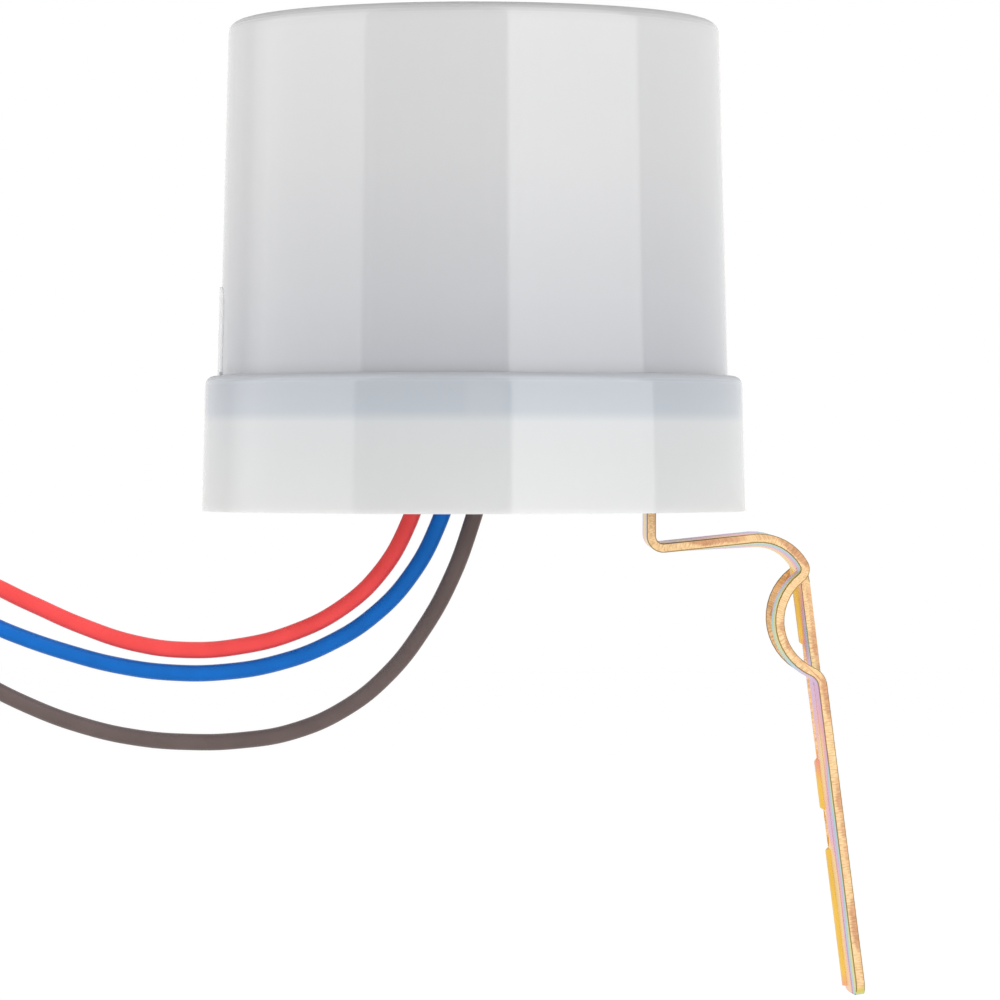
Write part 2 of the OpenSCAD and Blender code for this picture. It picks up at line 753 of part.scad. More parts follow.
// Solder on the board's underside, round the lead ends and under the components' legs
module solder_joints() {
    joint_h = 1;
    legs = [
        [relay_at.x - 7, relay_at.y], [relay_at.x + 7, relay_at.y - 5], [relay_at.x + 7, relay_at.y + 5],
        [dropper_at.x - 7.5, dropper_at.y], [dropper_at.x + 7.5, dropper_at.y],
        [smoothing_at.x, smoothing_at.y - 1.8], [smoothing_at.x, smoothing_at.y + 1.8],
        [photo_at.x + 1.5, -photo_d / 4], [photo_at.x + 1.5, photo_d / 4]
    ];
    color([0.8, 0.8, 0.8])
        translate([0, 0, board_bottom - joint_h]) {
            for (p = legs) translate([p.x, p.y, 0]) cylinder(r1 = 0.4, r2 = 1, h = joint_h);
            for (x = lead_x)
                translate([x, 0, 0])
                    difference() {
                        cylinder(r1 = core_d / 2 + 0.3, r2 = core_d / 2 + 0.8, h = joint_h);
                        translate([0, 0, -cut])
                            cylinder(r = core_d / 2 + seat_gap, h = joint_h + 2 * cut);
                    }
        }
}

// Bare ends of the leads, through the board
module lead_tails() {
    lead_top = red_route[0].z;
    color([0.85, 0.83, 0.8])
        for (x = lead_x)
            translate([x, 0, lead_top]) cylinder(d = core_d, h = board_top + 0.6 - lead_top);
}

module wire_grommet() {
    color([0.15, 0.15, 0.16])
        difference() {
            union() {
                translate([0, 0, base_bottom - grommet_flange])
                    linear_extrude(grommet_flange) oblong(lead_x[0], lead_x[2], grommet_flange_r);
                translate([0, 0, base_bottom - grommet_flange / 2])
                    linear_extrude(base_t + grommet_flange) oblong(lead_x[0], lead_x[2], grommet_r);
                translate([0, 0, base_top])
                    linear_extrude(grommet_flange) oblong(lead_x[0], lead_x[2], grommet_flange_r);
            }
            for (x = lead_x)
                translate([x, 0, base_bottom - grommet_flange - cut])
                    cylinder(
                        r = lead_d / 2 + seat_gap, h = base_t + 2 * grommet_flange + 2 * cut
                    );
        }
}

function with_loop(route, z) = concat(route, [for (p = loop_route) [p.x, p.y, z]]);

module red_lead() {
    color([0.9, 0.12, 0.12]) tube(with_loop(red_route, loop_z[0]), lead_d);
}

module blue_lead() {
    color([0.02, 0.25, 0.65]) tube(with_loop(blue_route, loop_z[1]), lead_d);
}

module black_lead() {
    color([0.14, 0.12, 0.12]) tube(with_loop(black_route, loop_z[2]), lead_d);
}

module lead_tips() {
    end = loop_route[last(loop_route)];
    color([0.85, 0.83, 0.8])
        for (z = loop_z)
            translate([end.x, end.y, z]) rotate([0, 90, 0]) cylinder(d = core_d, h = tip_l);
}

// Tie around the two runs of all three leads
module lead_tie() {
    low_y = loop_route[0].y;
    high_y = loop_route[last(loop_route)].y;
    size = [high_y - low_y, loop_z[0] - loop_z[2]] + [1, 1] * (lead_d + 2 * tie_gap);
    color([0.1, 0.1, 0.1])
        translate([tie_x, (low_y + high_y) / 2, (loop_z[0] + loop_z[2]) / 2])
            rotate([90, 0, 90])
                linear_extrude(tie_w, center = true)
                    difference() {
                        rounded_rect(size + 2 * tie_t * [1, 1], lead_d / 2 + tie_t);
                        rounded_rect(size, lead_d / 2);
                    }
}

module bracket() {
    color([0.8, 0.68, 0.4])
        difference() {
            union() {
                sheet();
                on_leg() bead();
            }
            on_leg() {
                bead_rod(bead_r - strip_t, bead_start, bead_end);
                translate([0, 0, -strip_w / 4])
                    linear_extrude(strip_w / 2) {
                        oblong(slot_at + slot_w / 2, slot_at + slot_l - slot_w / 2, slot_w / 2);
                        corner_cut(leg_l);
                    }
                translate([hole_at, 0, -strip_w / 4]) cylinder(d = hole_d, h = strip_w / 2);
            }
            translate(tab_start - [0, 0, strip_t]) {
                linear_extrude(2 * strip_t) mirror([1, 0]) corner_cut(0);
                translate([tab_hole_at, 0, 0]) cylinder(d = tab_hole_d, h = 2 * strip_t);
            }
        }
}

module bracket_screw() {
    dome = 0.9;
    color([0.75, 0.75, 0.76])
        translate([tab_hole_x, 0, spring_bottom]) {
            difference() {
                rotate_extrude()
                    polygon([
                        [0, 0], [head_d / 2, 0], [head_d / 2, -head_h + dome],
                        [head_d / 2 - dome, -head_h + dome / 4], [head_d / 4, -head_h], [0, -head_h]
                    ]);
                for (turn = [0, 90])
                    rotate(turn)
                        translate([-head_d / 4, -0.5, -head_h - cut])
                            cube([head_d / 2, 1, head_h * 0.6 + cut]);
            }
            cylinder(d = screw_d, h = screw_l);
        }
}

module spring_washer() {
    color([0.7, 0.7, 0.7])
        translate([tab_hole_x, 0, 0])
            difference() {
                ring(0.9 * head_d / 2, screw_d / 2 + seat_gap, spring_bottom, washer_bottom);
                translate([0, -0.5, spring_bottom - cut])
                    rotate([20, 0, 0]) cube([head_d, 0.7, 2 * cut + 2 * spring_t]);
            }
}

module flat_washer() {
    color([0.75, 0.72, 0.62])
        translate([tab_hole_x, 0, 0])
            ring(washer_d / 2, screw_d / 2 + 0.15, washer_bottom, tab_bottom);
}

// Brass insert moulded into the base, with two knurled collars
module threaded_insert() {
    waist = insert_wall / 3;
    color([0.8, 0.62, 0.25])
        translate([tab_hole_x, 0, base_bottom])
            rotate_extrude()
                polygon([
                    [screw_d / 2 + seat_gap, 0], [insert_r, 0], [insert_r, 0.4 * insert_l],
                    [insert_r - waist, 0.45 * insert_l], [insert_r - waist, 0.6 * insert_l],
                    [insert_r, 0.65 * insert_l], [insert_r, insert_l], [screw_d / 2 + seat_gap, insert_l]
                ]);
}

// The part's frame: origin at the wall screw hole
module placed() {
    translate(-wall_hole) children();
}

placed() cover();
placed() base();
placed() seal_ring();
placed() circuit_board();
placed() board_screws();
placed() relay();
placed() dropper_capacitor();
placed() smoothing_capacitor();
placed() rectifier_diodes();
placed() zener_diode();
placed() small_resistors();
placed() power_resistor();
placed() transistor();
placed() varistor();
placed() photoresistor();
placed() photoresistor_legs();
placed() solder_joints();
placed() lead_tails();
placed() wire_grommet();
placed() red_lead();
placed() blue_lead();
placed() black_lead();
placed() lead_tips();
placed() lead_tie();
placed() bracket();
placed() bracket_screw();
placed() spring_washer();
placed() flat_washer();
placed() threaded_insert();
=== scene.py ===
import math
import bpy
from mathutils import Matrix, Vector
from mathutils.kdtree import KDTree


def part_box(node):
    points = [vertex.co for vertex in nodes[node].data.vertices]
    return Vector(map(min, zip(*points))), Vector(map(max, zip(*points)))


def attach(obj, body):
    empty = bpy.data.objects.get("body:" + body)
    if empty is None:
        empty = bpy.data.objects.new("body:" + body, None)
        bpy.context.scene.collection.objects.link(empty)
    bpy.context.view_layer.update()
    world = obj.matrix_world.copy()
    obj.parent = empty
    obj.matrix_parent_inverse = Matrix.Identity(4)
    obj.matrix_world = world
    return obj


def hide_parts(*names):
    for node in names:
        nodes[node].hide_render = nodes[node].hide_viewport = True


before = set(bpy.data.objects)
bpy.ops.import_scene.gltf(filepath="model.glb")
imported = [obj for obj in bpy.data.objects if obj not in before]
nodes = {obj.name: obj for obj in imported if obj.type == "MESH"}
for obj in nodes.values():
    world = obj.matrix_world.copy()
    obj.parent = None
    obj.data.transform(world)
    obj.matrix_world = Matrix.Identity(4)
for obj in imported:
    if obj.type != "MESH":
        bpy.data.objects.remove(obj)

scene = bpy.context.scene
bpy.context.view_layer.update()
mm = 0.001
white = (1, 1, 1, 1)

# the cover's axis, with height 0 at the skirt's rim, is where all the measures below start
coverLow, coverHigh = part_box("cover")
bodyOrigin = Vector(((coverLow[0] + coverHigh[0]) / 2, (coverLow[1] + coverHigh[1]) / 2, coverLow[2]))


def fromBody(x, y, z):
    return bodyOrigin + Vector((x, y, z)) * mm


def linear(r, g, b):
    # screen colour, 0 to 255, to the values that the shader wants
    def channel(level):
        share = level / 255
        return share / 12.92 if level < 10.3 else ((share + 0.055) / 1.055) ** 2.4

    return (channel(r), channel(g), channel(b), 1.0)


def shade(colour, factor):
    return tuple(min(1.0, c * factor) for c in colour[:3]) + (1.0,)


# camera at the photograph's angle: square on to the bracket's edge, just above the rim
viewPoint = {
    "eye": (3.47, -620, 7.9), "aim": (3.47, 0, 1.4), "lens": 168.3, "sensor": 36, "near": 0.01, "far": 60,
}

bpy.ops.object.select_all(action="DESELECT")
bpy.ops.object.camera_add(location=fromBody(*viewPoint["eye"]))
camera = bpy.context.object
camera.name = "photoCamera"
camera.data.lens = viewPoint["lens"]
camera.data.sensor_width = viewPoint["sensor"]
camera.data.clip_start = viewPoint["near"]
camera.data.clip_end = viewPoint["far"]
gaze = fromBody(*viewPoint["aim"]) - camera.location
camera.rotation_euler = gaze.to_track_quat("-Z", "Y").to_euler()
scene.camera = camera
print("camera set")


# shader nodes, made and joined in few words
class Graph:
    def __init__(self, tree):
        self.tree = tree
        tree.nodes.clear()

    def join(self, a, b):
        self.tree.links.new(a, b)

    def feed(self, socket, value):
        if isinstance(value, (int, float, tuple)):
            socket.default_value = value
        else:
            self.join(value, socket)

    def node(self, kind, links=None, sockets=None, **settings):
        made = self.tree.nodes.new("ShaderNode" + kind)
        for key, value in settings.items():
            setattr(made, key, value)
        for key, value in (sockets or {}).items():
            made.inputs[key].default_value = value
        for key, value in (links or {}).items():
            self.join(value, made.inputs[key])
        return made

    def axes(self, vector):
        return tuple(self.node("SeparateXYZ", {0: vector}).outputs)

    def math(self, operation, *values):
        made = self.node("Math", operation=operation)
        for socket, value in zip(made.inputs, values):
            self.feed(socket, value)
        return made.outputs[0]

    def times(self, first, *others):
        for other in others:
            first = self.math("MULTIPLY", first, other)
        return first

    def span(self, value, low, high, start=0.0, end=1.0, soft=False):
        made = self.node("MapRange", {0: value}, {1: low, 2: high, 3: start, 4: end})
        made.interpolation_type = "SMOOTHSTEP" if soft else "LINEAR"
        return made.outputs[0]

    def seenRays(self):
        rays = self.node("LightPath").outputs
        seen = self.math("MAXIMUM", rays["Is Camera Ray"], rays["Is Glossy Ray"])
        return self.math("MAXIMUM", seen, rays["Is Transmission Ray"])


# a material round one Principled shader, its constants given by socket name
class Finish(Graph):
    noiseLow, noiseHigh = 0.3, 0.7  # most of a noise lies between these

    def __init__(self, name, **sockets):
        self.material = bpy.data.materials.new(name)
        self.material.use_nodes = True
        super().__init__(self.material.node_tree)
        self.shader = self.node("BsdfPrincipled")
        self.join(self.shader.outputs[0], self.node("OutputMaterial").inputs["Surface"])
        for key, value in sockets.items():
            self.shader.inputs[key.replace("_", " ")].default_value = value

    def drive(self, socket, value):
        self.join(value, self.shader.inputs[socket])

    def place(self):
        return self.node("TexCoord").outputs["Object"]

    def normal(self):
        return self.axes(self.node("TexCoord").outputs["Normal"])

    def stretched(self, scale):
        return self.node("Mapping", {0: self.place()}, {"Scale": scale}).outputs[0]

    def noise(self, vector, scale, detail=2.0, bend=0.0):
        settings = {"Scale": scale, "Detail": detail, "Distortion": bend}
        return self.node("TexNoise", {"Vector": vector}, settings).outputs[0]

    def ramp(self, value, stops):
        made = self.node("ValToRGB", {0: value})
        while len(made.color_ramp.elements) < len(stops):
            made.color_ramp.elements.new(0.5)
        for element, (place, colour) in zip(made.color_ramp.elements, stops):
            element.position = place
            element.color = colour
        return made.outputs[0]

    def clouded(self, noise, dark, light):
        return self.ramp(noise, [(self.noiseLow, dark), (self.noiseHigh, light)])

    def mix(self, factor, a, b, blend="MIX"):
        made = self.node("Mix", data_type="RGBA", blend_type=blend)
        for socket, value in ((made.inputs[0], factor), (made.inputs[6], a), (made.inputs[7], b)):
            self.feed(socket, value)
        return made.outputs[2]

    def multiplied(self, a, b):
        return self.mix(1.0, a, b, "MULTIPLY")

    def bump(self, height, strength, depth):
        made = self.node("Bump", {"Height": height}, {"Strength": strength, "Distance": depth * mm})
        self.drive("Normal", made.outputs[0])


# plain finishes: scales per metre, depth in mm, dark and light as shares of the colour
mouldedLook = {
    "cloudScale": 90, "cloudDetail": 3, "dark": 0.93, "light": 1.05, "grainScale": 900, "grainDepth": 0.2,
}
metalLook = {
    "stretch": (300, 300, 2500), "detail": 4, "dark": 0.82, "light": 1.08, "smooth": 0.8, "coarse": 1.25,
    "grain": 0.15, "grainDepth": 0.1,
}


def mouldedFinish(name, colour, roughness, grain=0.0, look=mouldedLook, **sockets):
    # plastic and rubber: slight clouding, fine mould grain
    finish = Finish(name, Roughness=roughness, **sockets)
    cloud = finish.noise(finish.place(), look["cloudScale"], look["cloudDetail"])
    dark, light = shade(colour, look["dark"]), shade(colour, look["light"])
    finish.drive("Base Color", finish.clouded(cloud, dark, light))
    if grain:
        finish.bump(finish.noise(finish.place(), look["grainScale"]), grain, look["grainDepth"])
    return finish.material


def metalFinish(name, colour, roughness, stretch=metalLook["stretch"], look=metalLook):
    # turned or drawn metal: streaks along one way, and a little uneven gloss
    finish = Finish(name, Metallic=1.0)
    streak = finish.noise(finish.stretched(stretch), 1.0, look["detail"])
    dark, light = shade(colour, look["dark"]), shade(colour, look["light"])
    finish.drive("Base Color", finish.clouded(streak, dark, light))
    smooth, coarse = roughness * look["smooth"], roughness * look["coarse"]
    finish.drive("Roughness", finish.span(streak, finish.noiseLow, finish.noiseHigh, smooth, coarse))
    finish.bump(streak, look["grain"], look["grainDepth"])
    return finish.material


def dress(node, material):
    nodes[node].material_slots[0].material = material


# leads: the routes repeat the CAD's own points, in mm about the cover's axis
leadShape = {
    "diameter": 2.2, "exitZ": 11.8, "roundSteps": 5, "pathSteps": 10,
    "roughness": 0.4, "specular": 0.2, "grain": 0.12,
    "cloudScale": 220, "cloudDetail": 2, "dark": 0.92, "light": 1.06, "grainScale": 1400, "grainDepth": 0.15,
}
leadLoop = [
    (-84, 0), (-88, 0), (-93.5, -1.8), (-99, -4.7), (-104.5, -5.7), (-109.5, -3), (-111, 1.3),
    (-109.5, 5.5), (-104.5, 8.2), (-99, 7.2), (-93.5, 4.3), (-88, 2.5), (-76, 2.5),
]
leads = {
    "red": {
        "colour": linear(255, 80, 80), "loopZ": -8, "exitX": -6, "length": 180,
        "route": [
            (-6, 22), (-6, 10), (-6.8, 4.5), (-8.8, -2), (-12.5, -8.3), (-17.5, -12.9), (-24, -16.2),
            (-31, -18), (-38, -18.5), (-45, -17.6), (-52, -15.3), (-59, -12.2), (-66, -9.1), (-75, -7.6),
        ],
    },
    "blue": {
        "colour": linear(0, 108, 200), "loopZ": -10.5, "exitX": -2, "length": 186,
        "route": [
            (-2, 22), (-2, 10), (-2.8, 4.5), (-4.8, -2), (-8.3, -8.5), (-13.2, -13.8), (-19.3, -17.7),
            (-26, -20.2), (-33, -21.4), (-40, -21.5), (-47, -20.6), (-54, -18.8), (-61, -16.4),
            (-68, -13.4), (-76, -11.1),
        ],
    },
    "black": {
        "colour": linear(106, 92, 89), "loopZ": -13, "exitX": 2, "length": 198,
        "route": [
            (2, 22), (2, 10), (1.4, 4.5), (-0.3, -1.7), (-3, -9), (-6.7, -15.7), (-11.4, -21.7),
            (-17, -26.2), (-24, -29.3), (-31, -30.5), (-38, -30.7), (-45, -30.1), (-52, -28.5),
            (-59, -25.9), (-66, -22.3), (-72.5, -17.9), (-79, -14.2),
        ],
    },
}


def makeLead(name, lead, shape):
    points = [fromBody(x, 0, z) for x, z in lead["route"]]
    points += [fromBody(x, y, lead["loopZ"]) for x, y in leadLoop]
    curve = bpy.data.curves.new(name + "LeadWire", "CURVE")
    curve.dimensions = "3D"
    curve.bevel_depth = shape["diameter"] / 2 * mm
    curve.bevel_resolution = shape["roundSteps"]
    curve.resolution_u = shape["pathSteps"]
    curve.use_fill_caps = True
    spline = curve.splines.new("BEZIER")
    spline.bezier_points.add(len(points) - 1)
    for bezier, point in zip(spline.bezier_points, points):
        bezier.co = point
        bezier.handle_left_type = bezier.handle_right_type = "AUTO"
    wire = bpy.data.objects.new(name + "LeadWire", curve)
    scene.collection.objects.link(wire)
    curve.materials.append(mouldedFinish(
        name + "Insulation", lead["colour"], shape["roughness"], shape["grain"], shape,
        Specular_IOR_Level=shape["specular"],
    ))
    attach(wire, "root")
    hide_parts(name + "_lead")
    return wire


for leadName, lead in leads.items():
    wire = makeLead(leadName, lead, leadShape)
print("leads laid")


# cover: milky plastic, its tone by height is painted light that comes through the wall, with a painted shadow
# line at the step
coverLook = {  # heights and depths in mm, turns in degrees
    "height": 64.5, "gloss": 0.05, "index": 1.65, "scatter": 1.0, "scatterDepth": 1.5,
    "paintedLightTones": [  # height, screen colour
        (0, (217, 218, 217)), (11.6, (212, 214, 215)), (12.9, (191, 197, 204)), (17, (186, 191, 198)),
        (18, (182, 183, 187)), (19.5, (189, 191, 196)), (28, (199, 200, 203)), (45, (211, 211, 212)),
        (62, (216, 216, 216)), (64.5, (206, 206, 206)),
    ],
    # painted shade on the rounded edges, by how far the normal turns up
    "edges": [  # upward part of the normal, share of the tone
        (0.05, 1.0), (0.33, 0.86), (0.66, 0.68), (0.9, 0.52), (0.975, 0.52), (0.995, 1.0),
    ],
    "stepShadeShare": 0.45, "stepHigh": 20, "topLow": 60,
    "matTop": 0.6, "matFrom": 0.2, "matFull": 0.9,
    "lugTurn": 2.4, "lugSpacing": 90, "lugHalf": 2.4, "lugLow": 10.7, "lugHigh": 16.6, "lugSoft": 1,
    "lugLightShare": 0.14, "lugLightTone": linear(212, 214, 215),
    "padFrom": 30, "padLow": 18.3, "padHigh": 32, "padOutward": 0.8, "padPaintedLight": linear(234, 235, 236),
    "cloudScale": 45, "cloudDark": 0.985, "grainScale": 600, "grain": 0.02, "grainDepth": 0.1,
}


def coverFinish(look):
    finish = Finish(
        "milkyCover", IOR=look["index"], Subsurface_Weight=look["scatter"],
        Subsurface_Radius=(1, 1, 1), Subsurface_Scale=look["scatterDepth"] * mm,
    )
    x, y, z = finish.axes(finish.place())
    outward, _, up = finish.normal()

    def level(height):
        return bodyOrigin.z + height * mm

    height = finish.span(z, level(0), level(look["height"]))
    tone = finish.ramp(height, [(h / look["height"], linear(*colour)) for h, colour in look["paintedLightTones"]])

    # painted light: the four snap lugs behind the skirt show as faint pale marks
    right = finish.math("SUBTRACT", x, bodyOrigin.x)
    front = finish.math("SUBTRACT", bodyOrigin.y, y)
    around = finish.math("SUBTRACT", finish.math("ARCTAN2", right, front), math.radians(look["lugTurn"]))
    away = finish.math("PINGPONG", finish.math("ABSOLUTE", around), math.radians(look["lugSpacing"] / 2))
    half, soft = math.radians(look["lugHalf"]), look["lugSoft"]
    lugPaintedLight = finish.times(
        finish.span(away, half, 2 * half, look["lugLightShare"], 0, soft=True),
        finish.span(z, level(look["lugLow"] - soft), level(look["lugLow"] + soft), 0, 1, soft=True),
        finish.span(z, level(look["lugHigh"] - soft), level(look["lugHigh"] + soft), 1, 0, soft=True),
    )
    tone = finish.mix(lugPaintedLight, tone, look["lugLightTone"])

    # painted shade: rounded edges darken as they turn up, more at the top than at the step, the flat faces
    # don't
    edges = finish.ramp(up, [(turn, shade(white, share)) for turn, share in look["edges"]])
    edgeShadeShare = finish.span(z, level(look["stepHigh"]), level(look["topLow"]), look["stepShadeShare"], 1.0)
    tone = finish.mix(edgeShadeShare, tone, finish.multiplied(tone, edges))

    # painted light: the thin walls round the pad are painted paler, for the light that gathers in them
    padWallLight = finish.times(
        finish.math("LESS_THAN", finish.math("ABSOLUTE", outward), look["padOutward"]),
        finish.math("LESS_THAN", x, bodyOrigin.x - look["padFrom"] * mm),
        finish.math("GREATER_THAN", z, level(look["padLow"])),
        finish.math("LESS_THAN", z, level(look["padHigh"])),
    )
    tone = finish.mix(padWallLight, tone, look["padPaintedLight"])

    cloud = finish.noise(finish.place(), look["cloudScale"])
    veil = finish.clouded(cloud, shade(white, look["cloudDark"]), white)
    finish.drive("Base Color", finish.multiplied(tone, veil))

    # glossy walls, mat top
    mat = finish.span(up, look["matFrom"], look["matFull"], look["gloss"], look["matTop"])
    finish.drive("Roughness", mat)
    finish.bump(finish.noise(finish.place(), look["grainScale"]), look["grain"], look["grainDepth"])
    return finish.material


dress("cover", coverFinish(coverLook))
print("cover dressed")


# bracket: yellow-passivated zinc on steel, gold, pink, lilac and cyan on the faces, gold on the sheared edges
bracketSheet = {
    # the strip's middle line, as in the CAD, in mm and degrees
    "stub": 14, "bend": 1.6, "rise": 2.6, "arm": 12.2, "shoulder": 5.9, "lean": 7.2, "leg": 54.5,
    "holeUp": 21.5, "lead": 22, "foot": 0.6, "upperTurn": 59.34, "bridge": 8, "lowerTurn": 58.95, "toe": 1.5,
    "halfWidth": 9.25, "bow": 0.77, "pathStep": 0.2,
    # its rolled edges, in mm and degrees
    "mergeGap": 0.002, "flatAngle": 0.5, "roll": 0.13, "rollSteps": 3, "rollAngle": 60, "rollFrom": 2.6,
    "crossRise": 0.2, "crossLength": 0.5, "sharpAngle": 32,
    "sideways": 0.98,  # part of the normal from which a face is the sheared side itself
    # its film and its sheared edges
    "faceMetal": 0.6, "edgeMetal": 1.0, "faceRough": 0.27, "edgeRough": 0.42, "specular": 0.2,
    "edgeFrom": 0.8, "edgeFull": 0.95,
    "filmStretch": 0.05, "filmScale": 1.2, "filmDetail": 1, "filmBend": 0.2,
    "driftShare": 0.75, "fringePower": 2, "fringeShare": 0.34,
    "faces": [  # from the middle of the strip out to its edges
        (0.18, linear(228, 180, 76)), (0.42, linear(246, 198, 80)), (0.50, linear(240, 154, 142)),
        (0.58, linear(206, 154, 204)), (0.66, linear(140, 198, 204)), (0.74, linear(210, 206, 114)),
        (0.90, linear(234, 190, 88)),
    ],
    "patchScale": 3.4, "patchMiddle": 0.5, "patchShift": 3, "patchFrom": 0.4, "patchFull": 0.6,
    "tornFrom": -0.1, "tornFull": 0.35, "tornLeast": 0.1, "tornMost": 0.55,
    "burnished": linear(250, 213, 164), "torn": linear(186, 112, 88),
    "grainScale": 6, "grainDeep": 0.2, "grainBump": 0.1, "grainDepth": 0.1,
    "grain": [(0.36, (0.74, 0.7, 0.64, 1)), (0.6, white)],
    # painted shade along the rolled edges
    "rollOverShade": linear(132, 108, 56), "rollShadeShare": 0.85,
}


def layPath(steps, start, heading):
    # points along straight and bent lengths, each with its direction and its run
    place, way, run = Vector(start), math.radians(heading), 0.0
    path = [(place, way, run)]
    for length, turn in steps:
        count = max(2, round(length / bracketSheet["pathStep"]))
        step, bend = length / count, math.radians(turn) / count
        for _ in range(count):
            place = place + Vector((math.cos(way + bend / 2), math.sin(way + bend / 2))) * step
            way, run = way + bend, run + step
            path.append((place, way, run))
    return path


def bendOf(radius, turn):
    return (radius * math.radians(abs(turn)), turn)


def stripPath(sheet):
    turn = -(90 - sheet["lean"] + sheet["rise"])
    upper = layPath([
        (sheet["stub"], 0), bendOf(sheet["bend"], 90 + sheet["rise"]), (sheet["arm"], 0),
        bendOf(sheet["shoulder"], turn + sheet["lead"]),
    ], (0, 0), -90)
    split, way, splitRun = upper[-1]
    splitWay = math.degrees(way)
    middle = layPath([bendOf(sheet["shoulder"], -sheet["lead"]), (sheet["leg"], 0)], split, splitWay)
    band = layPath([
        bendOf(sheet["foot"], -sheet["lead"] - sheet["upperTurn"]),
        bendOf(sheet["bridge"], sheet["upperTurn"] + sheet["lowerTurn"]),
        bendOf(sheet["toe"], -sheet["lowerTurn"]),
    ], split, splitWay)
    path = upper + [(place, way, run + splitRun) for place, way, run in middle + band]
    end, endWay = middle[-1][:2]
    hole = end - Vector((math.cos(endWay), math.sin(endWay))) * sheet["holeUp"]  # the frame's origin
    return [(place - hole, way, run) for place, way, run in path]


def markStrip(strip, sheet):
    # how far along the strip and how deep in its thickness each point is, in mm
    path = stripPath(sheet)
    tree = KDTree(len(path))
    for i, (place, _, _) in enumerate(path):
        tree.insert((place.x, 0, place.y), i)
    tree.balance()
    runs, depths = [], []
    for vertex in strip.data.vertices:
        x, y, z = vertex.co / mm
        near, i, _ = tree.find((x, 0, z))
        way, run = path[i][1:]
        depth = math.cos(way) * (z - near.z) - math.sin(way) * (x - near.x)
        if run > sheet["stub"]:
            depth -= sheet["bow"] * (y / sheet["halfWidth"]) ** 2
        runs.append(run)
        depths.append(depth)
    strip.data.attributes.new("run", "FLOAT", "POINT").data.foreach_set("value", runs)
    strip.data.attributes.new("depth", "FLOAT", "POINT").data.foreach_set("value", depths)


def bracketFinish(sheet):
    finish = Finish("passivatedZinc", Specular_IOR_Level=sheet["specular"])

    def mark(name):
        return finish.node("Attribute", attribute_name=name).outputs["Fac"]

    facing = finish.math("ABSOLUTE", finish.normal()[1])
    edge = finish.span(facing, sheet["edgeFrom"], sheet["edgeFull"], soft=True)
    across = finish.math("DIVIDE", finish.axes(finish.place())[1], sheet["halfWidth"] * mm)

    # film: gold in the middle, pink, lilac, cyan and green fringes along the edges
    along = finish.times(mark("run"), sheet["filmStretch"])
    flow = finish.node("CombineXYZ", {0: along, 1: across}).outputs[0]
    drift = finish.noise(flow, sheet["filmScale"], sheet["filmDetail"], sheet["filmBend"])
    fringe = finish.math("POWER", finish.math("ABSOLUTE", across), sheet["fringePower"])
    film = finish.math(
        "ADD", finish.times(drift, sheet["driftShare"]), finish.times(fringe, sheet["fringeShare"]),
    )
    faceColour = finish.ramp(film, sheet["faces"])

    # sheared edges: a torn zone that comes and goes, and fine lines across the thickness
    patch = finish.noise(flow, sheet["patchScale"])
    deep = finish.times(mark("depth"), sheet["grainDeep"])
    lines = finish.node("CombineXYZ", {0: mark("run"), 1: deep}).outputs[0]
    grain = finish.noise(lines, sheet["grainScale"])
    shift = finish.times(finish.math("SUBTRACT", patch, sheet["patchMiddle"]), sheet["patchShift"])
    tornDepth = finish.math("ADD", mark("depth"), shift)
    torn = finish.times(
        finish.span(tornDepth, sheet["tornFrom"], sheet["tornFull"], soft=True),
        finish.span(patch, sheet["patchFrom"], sheet["patchFull"], sheet["tornLeast"], sheet["tornMost"]),
    )
    edgeColour = finish.mix(torn, sheet["burnished"], sheet["torn"])
    edgeColour = finish.multiplied(edgeColour, finish.ramp(grain, sheet["grain"]))

    colour = finish.mix(edge, faceColour, edgeColour)
    # painted shade: the rolled-over edge faces are darkened olive
    rolled = finish.times(mark("rollOverShade"), sheet["rollShadeShare"])
    finish.drive("Base Color", finish.mix(rolled, colour, sheet["rollOverShade"]))
    finish.drive("Roughness", finish.span(edge, 0, 1, sheet["faceRough"], sheet["edgeRough"]))
    finish.drive("Metallic", finish.span(edge, 0, 1, sheet["faceMetal"], sheet["edgeMetal"]))
    finish.bump(finish.times(grain, edge), sheet["grainBump"], sheet["grainDepth"])
    return finish.material


def pickShearedEdges(mesh, sheet):
    # sharp edges of the strip and its bands, not those of the slot, the holes, the bead or the slits' ends
    sides = {}
    for polygon in mesh.polygons:
        for key in polygon.edge_keys:
            sides.setdefault(key, []).append(polygon.normal)
    for item in (mesh.polygons, mesh.vertices):
        item.foreach_set("select", [False] * len(item))
    for edge in mesh.edges:
        a, b = (mesh.vertices[i].co / mm for i in edge.vertices)
        facing = sides.get(edge.key, [])
        sharp = len(facing) == 2 and facing[0].angle(facing[1]) > math.radians(sheet["rollAngle"])
        outside = min(abs(a.y), abs(b.y)) > sheet["rollFrom"]
        crossing = abs(a.y - b.y) > sheet["crossRise"] and (a - b).length < sheet["crossLength"]
        edge.select = sharp and outside and not crossing


